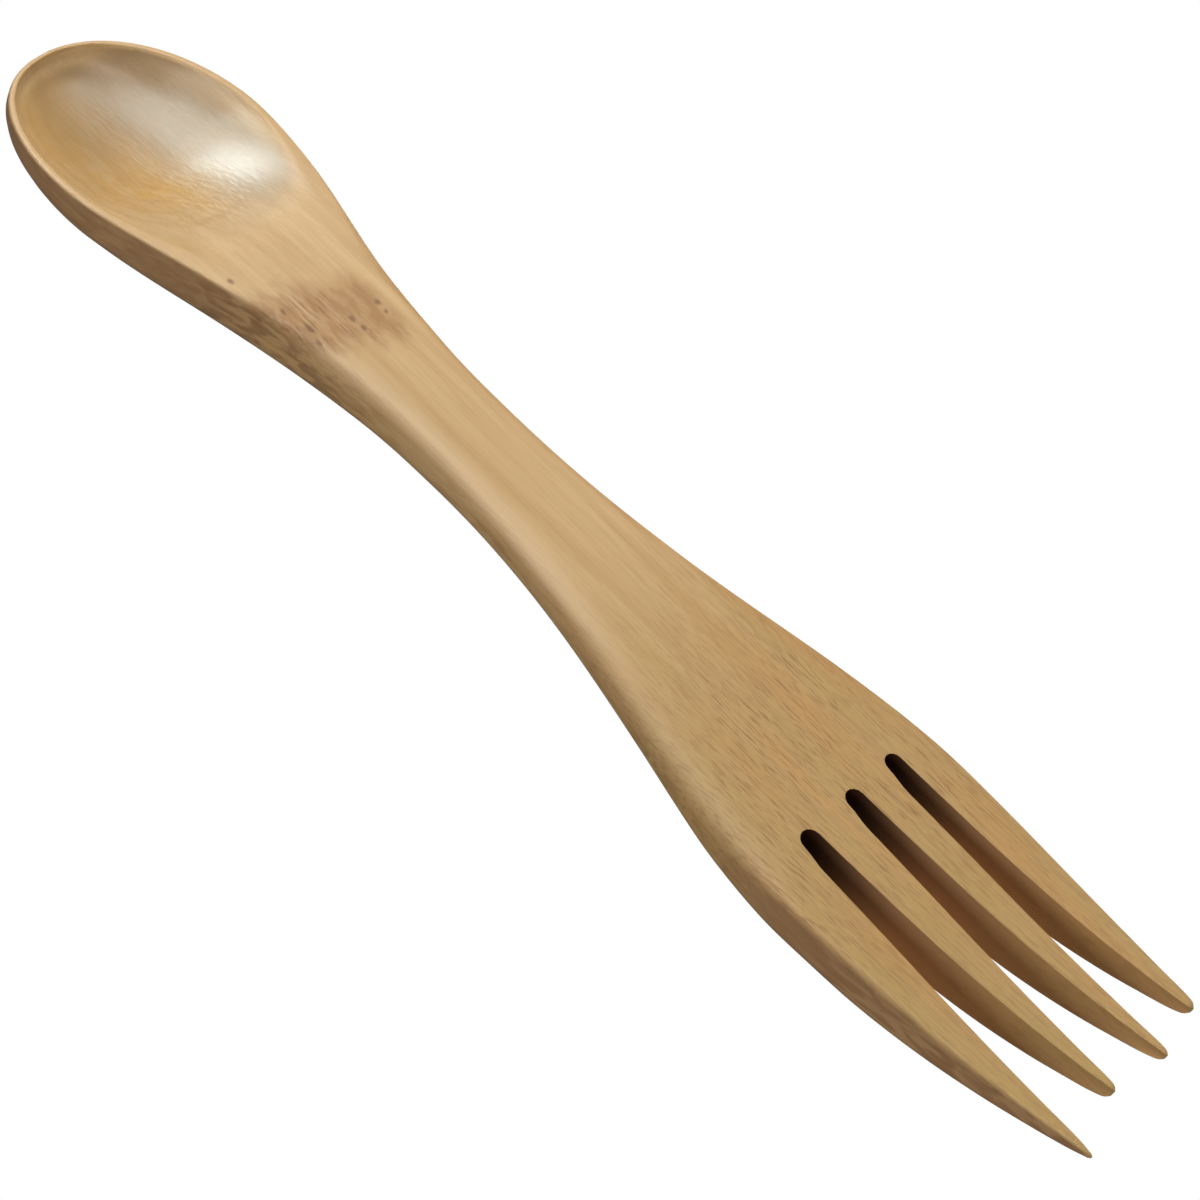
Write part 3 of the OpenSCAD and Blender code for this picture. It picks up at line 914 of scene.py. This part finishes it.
class SporkLook(bpy.types.PropertyGroup):
    """Colours and gloss of the bamboo, and the painted shade and light that some of the colours
    carry.
    """

    tan: colour_property("Tan", "Main colour of the bamboo", (0.52, 0.33, 0.14))
    pale: colour_property("Pale", "Pale bands of the bamboo", (0.64, 0.44, 0.22))
    fork: colour_property("Fork", "Duller colour towards the fork", (0.46, 0.288, 0.1))
    orange: colour_property("Orange", "Orange streaks of the fork", (0.53, 0.29, 0.095))
    straw: colour_property("Straw", "Straw streaks of the fork", (0.46, 0.315, 0.107))
    fibre: colour_property("Fibre", "Fine darker fibres", (0.36, 0.21, 0.08))
    dash: colour_property("Dash", "Short dark dashes of cut fibres", (0.29, 0.145, 0.047))
    amber: colour_property("Amber", "Orange tint along the far edge", (0.5, 0.25, 0.08))
    # Pale worn edges and scratches, and a painted highlight on the near rounded edges
    worn_and_sheen: colour_property("Worn", "Pale worn near edges and scratches", (0.74, 0.54, 0.34))
    # Painted shade on the bowl's far wall and at its tip
    bowl_shade: colour_property("Dull", "Duller far side of the bowl", (0.26, 0.162, 0.064))
    honey: colour_property("Honey", "Warm colour in the bowl", (0.53, 0.295, 0.058))
    ring: colour_property("Ring", "Growth layers that the scoop cuts open", (0.43, 0.23, 0.058))
    # Browner sides, partly the bamboo's own colour and partly painted shade
    flank: colour_property("Flank", "Browner sides", (0.33, 0.185, 0.09))
    node: colour_property("Node", "Mottled node of the cane", (0.38, 0.205, 0.075))
    # Also a painted dark band of shade low on the sides
    blotch_and_shade: colour_property("Blotch", "Dark blotches and threads of the node", (0.15, 0.07, 0.032))
    speck: colour_property("Speck", "Dark specks in the node", (0.17, 0.08, 0.032))
    # The slot colours are painted: shade on the walls, light low in the slots, and a black shadow
    # at the roots
    slot_wall_shade: colour_property("Scorch", "Scorched walls of the slots", (0.32, 0.175, 0.082))
    slot_low_light: colour_property("Toast", "Lighter scorch low in the slots", (0.8, 0.46, 0.225))
    char: colour_property("Char", "Blackened roots of the slots", (0.034, 0.011, 0.006))
    roughness: share_property("Roughness", "Roughness of the sanded bamboo", 0.46)
    coat_roughness: share_property("Oil roughness", "Roughness of the oil finish", 0.285)


class SporkStage(bpy.types.PropertyGroup):
    """Camera, lights and floor."""

    target: bpy.props.FloatVectorProperty(
        name="Target",
        description="Place that the camera looks at",
        default=(4.96 * MM, -1.31 * MM, 4 * MM),
        size=3,
        subtype="TRANSLATION",
        unit="LENGTH",
    )
    distance: length_property("Distance", "From the camera to its target", 451.02)
    azimuth: angle_property("Azimuth", "Turn of the camera round the spork", 11.94)
    elevation: angle_property("Elevation", "Height angle of the camera", 48.17)
    roll: angle_property("Roll", "Roll of the camera", 34.78)
    lens: number_property("Lens", "Focal length on a 36 mm sensor, in millimetres", 122.67)
    key_power: power_property("Key light", "Power of the softbox high behind the spork", 4.4)
    fill_power: power_property("Side fill", "Power of the softbox before the near side", 1.85)
    gleam_power: power_property(
        "Bowl gleam", "Power that the cards which shine in the bowl share", 1.1
    )
    edge_power: power_property("Edge sheen", "Power of the card that shines on the near edge", 2.6)
    ambient: number_property("Room light", "Strength of the even light of the room", 0.3)
    gleam: colour_property("Gleam", "Colour of the cards that shine in the bowl", (0.87, 1, 1))
    above: colour_property("Light above", "Colour of the room's light from above", (1, 0.92, 0.85))
    below: colour_property(
        "Light below", "Colour of the room's light from below", (0.5, 0.46, 0.44)
    )


def cut_pieces(context, *nodes):
    """Cuts some stretches from the carved strip and finishes them."""
    material = bamboo_material(context.scene.spork_look)
    for node in nodes:
        piece_from_strip(node, material)
    return {"FINISHED"}


class SPORK_OT_strip(bpy.types.Operator):
    """Carves the whole strip from a flat blank, ready to be cut into its stretches"""

    bl_idname = "spork.strip"
    bl_label = "Carve the strip"

    def execute(self, context):
        carve_strip(context.scene.spork_shape)
        return {"FINISHED"}


class SPORK_OT_bowl(bpy.types.Operator):
    """Cuts the spoon bowl from the carved strip and finishes it"""

    bl_idname = "spork.bowl"
    bl_label = "Bowl"

    def execute(self, context):
        return cut_pieces(context, "bowl")


class SPORK_OT_handle(bpy.types.Operator):
    """Cuts the neck and the grip from the carved strip and finishes them"""

    bl_idname = "spork.handle"
    bl_label = "Neck and grip"

    def execute(self, context):
        return cut_pieces(context, "neck", "grip")


class SPORK_OT_fork_head(bpy.types.Operator):
    """Cuts the fork head from the carved strip and finishes it"""

    bl_idname = "spork.fork_head"
    bl_label = "Fork head"

    def execute(self, context):
        return cut_pieces(context, "fork_head")


class SPORK_OT_tines(bpy.types.Operator):
    """Cuts the four tines from the carved strip and finishes them"""

    bl_idname = "spork.tines"
    bl_label = "Tines"

    def execute(self, context):
        return cut_pieces(context, *TINES)


def direction(turn, lift):
    """A unit vector at a turn round the upright and a height angle."""
    level = math.cos(lift)
    return Vector((level * math.cos(turn), level * math.sin(turn), math.sin(lift)))


def softbox(name, target, turn, lift, size, power, diffuse=True, glossy=True, colour=(1, 1, 1)):
    """A square area light that looks at a target from a turn round it and a height angle."""
    lamp = bpy.data.lights.new(name, "AREA")
    lamp.size = size
    lamp.energy = power
    lamp.color = colour
    light = bpy.data.objects.new(name, lamp)
    bpy.context.scene.collection.objects.link(light)
    away = direction(math.radians(turn), math.radians(lift))
    light.location = Vector(target) + away * LIGHT_DISTANCE
    light.rotation_euler = away.to_track_quat("Z", "Y").to_euler()
    light.visible_diffuse = diffuse
    light.visible_glossy = glossy


def lay_floor():
    """The white floor that the spork lies on."""
    deselect()
    bpy.ops.mesh.primitive_plane_add(size=FLOOR_SIZE, location=(0, 0, -FLOOR_DROP))
    floor = bpy.context.object
    floor.name = "floor"
    white = bpy.data.materials.new("white_floor")
    white.use_nodes = True
    inputs = white.node_tree.nodes["Principled BSDF"].inputs
    inputs["Base Color"].default_value = (0, 0, 0, 1)
    inputs["Specular IOR Level"].default_value = 0
    inputs["Emission Color"].default_value = (1, 1, 1, 1)
    inputs["Emission Strength"].default_value = 1.0
    floor.data.materials.append(white)
    floor.visible_diffuse = floor.visible_glossy = floor.visible_shadow = False


def hang_lights(stage):
    """The softboxes, and the cards that only shine in the bowl and on the near edge."""
    target = Vector(stage.target)
    bowl = sum(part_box("bowl"), Vector()) / 2
    softbox("key", target, *KEY_LIGHT, stage.key_power, glossy=False)
    softbox("side_fill", target, *SIDE_FILL, stage.fill_power, glossy=False)
    for k, (*card, share) in enumerate(GLEAM_CARDS, 1):
        power = stage.gleam_power * share
        softbox(f"gleam_{k}", bowl, *card, power, diffuse=False, colour=stage.gleam)
    softbox("edge_sheen", target, *EDGE_SHEEN, stage.edge_power, diffuse=False)


def light_room(stage):
    """The even light of the room, warmer from above."""
    world = bpy.data.worlds.new("room")
    bpy.context.scene.world = world
    world.use_nodes = True
    sky = world.node_tree.nodes["Background"]
    heading = Field(sky.outputs[0]).node("ShaderNodeTexCoord", output="Generated")
    height = heading.node("ShaderNodeSeparateXYZ", {}, {"Vector": heading}, "Z")
    room = height.within(-HORIZON, HORIZON).tint(stage.below, stage.above)
    world.node_tree.links.new(room.socket, sky.inputs["Color"])
    sky.inputs["Strength"].default_value = stage.ambient


def set_camera(stage):
    """The camera at the photograph's angle, distance, roll and lens."""
    scene = bpy.context.scene
    turn, roll = stage.azimuth, stage.roll
    away = direction(turn - math.pi / 2, stage.elevation)
    level = Vector((math.cos(turn), math.sin(turn), 0))
    rise = away.cross(level)
    right = level * math.cos(roll) + rise * math.sin(roll)
    above = rise * math.cos(roll) - level * math.sin(roll)
    view = Matrix((right, above, away)).transposed().to_4x4()
    view.translation = Vector(stage.target) + away * stage.distance
    data = bpy.data.cameras.new("camera")
    data.sensor_width = SENSOR_WIDTH
    data.lens = stage.lens
    data.clip_start = CLIP_START
    camera = bpy.data.objects.new("camera", data)
    scene.collection.objects.link(camera)
    camera.matrix_world = view
    scene.camera = camera
    scene.view_settings.view_transform = "Standard"


class SPORK_OT_stage(bpy.types.Operator):
    """Sets the floor, the softboxes, the room light and the camera"""

    bl_idname = "spork.stage"
    bl_label = "Stage"

    def execute(self, context):
        stage = context.scene.spork_stage
        lay_floor()
        hang_lights(stage)
        light_room(stage)
        set_camera(stage)
        return {"FINISHED"}


OPERATORS = (
    SPORK_OT_strip,
    SPORK_OT_bowl,
    SPORK_OT_handle,
    SPORK_OT_fork_head,
    SPORK_OT_tines,
    SPORK_OT_stage,
)


class SPORK_PT_panel(bpy.types.Panel):
    """Lists the steps that make the spork"""

    bl_idname = "SPORK_PT_panel"
    bl_label = "Bamboo spork"
    bl_space_type = "VIEW_3D"
    bl_region_type = "UI"
    bl_category = "Spork"

    def draw(self, context):
        for operator in OPERATORS:
            self.layout.operator(operator.bl_idname)
        for name, group in GROUPS.items():
            for key in group.__annotations__:
                self.layout.prop(getattr(context.scene, name), key)


GROUPS = {"spork_shape": SporkShape, "spork_look": SporkLook, "spork_stage": SporkStage}
CLASSES = (*GROUPS.values(), *OPERATORS, SPORK_PT_panel)


def register():
    """Adds the classes, and the settings to the scene."""
    for item in CLASSES:
        bpy.utils.register_class(item)
    for name, group in GROUPS.items():
        setattr(bpy.types.Scene, name, bpy.props.PointerProperty(type=group))


def unregister():
    """Takes the settings and the classes away again."""
    for name in GROUPS:
        delattr(bpy.types.Scene, name)
    for item in reversed(CLASSES):
        bpy.utils.unregister_class(item)


def main():
    """Makes the spork and its stage."""
    register()
    bpy.ops.spork.strip()
    bpy.ops.spork.bowl()
    bpy.ops.spork.handle()
    bpy.ops.spork.fork_head()
    bpy.ops.spork.tines()
    bpy.ops.spork.stage()
    bpy.data.meshes.remove(bpy.data.meshes[STRIP_NAME])


if __name__ == "__main__":
    main()
